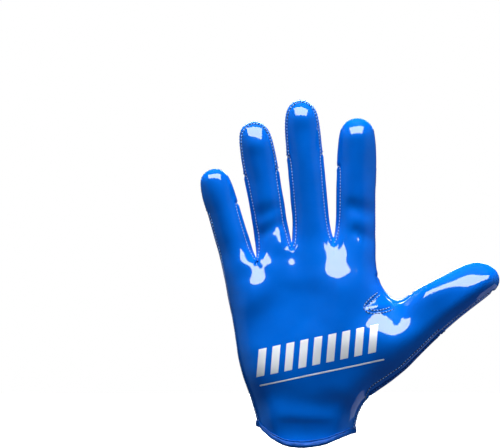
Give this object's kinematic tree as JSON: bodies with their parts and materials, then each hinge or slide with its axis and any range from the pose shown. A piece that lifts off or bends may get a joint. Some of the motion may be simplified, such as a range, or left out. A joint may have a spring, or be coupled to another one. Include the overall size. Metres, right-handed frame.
{
  "type": "football receiver glove",
  "caption": "Right-hand sport glove, filled out as worn: glossy grip palm, perforated back, finger side strips, thumb gusset, bound cuff and ribbed wrist strap.",
  "frame": {"origin": "centre of the wrist opening, at the height of the palm's hem", "axes": "+Z along the middle finger from the wrist, -Y out of the palm, +X to the thumb"},
  "size_m": [0.1928, 0.0437, 0.2255],
  "materials": {
    "grip_film": "glossy tacky film on leather",
    "back_leather": "matte, soft and perforated",
    "binding_cloth": "matte rolled tape",
    "strap_moulding": "satin moulded rubber"
  },
  "bodies": {
    "root": {"back_panel": "back_leather", "closure_strap": "strap_moulding", "cuff_binding": "binding_cloth", "fourchette_index_middle": "back_leather", "fourchette_middle_ring": "back_leather", "fourchette_ring_little": "back_leather", "index_tip_wrap": "grip_film", "little_tip_wrap": "grip_film", "palm_panel": "grip_film", "thumb_back_panel": "back_leather", "thumb_tip_wrap": "grip_film", "thumb_web_gusset": "back_leather"}
  },
  "joints": []
}
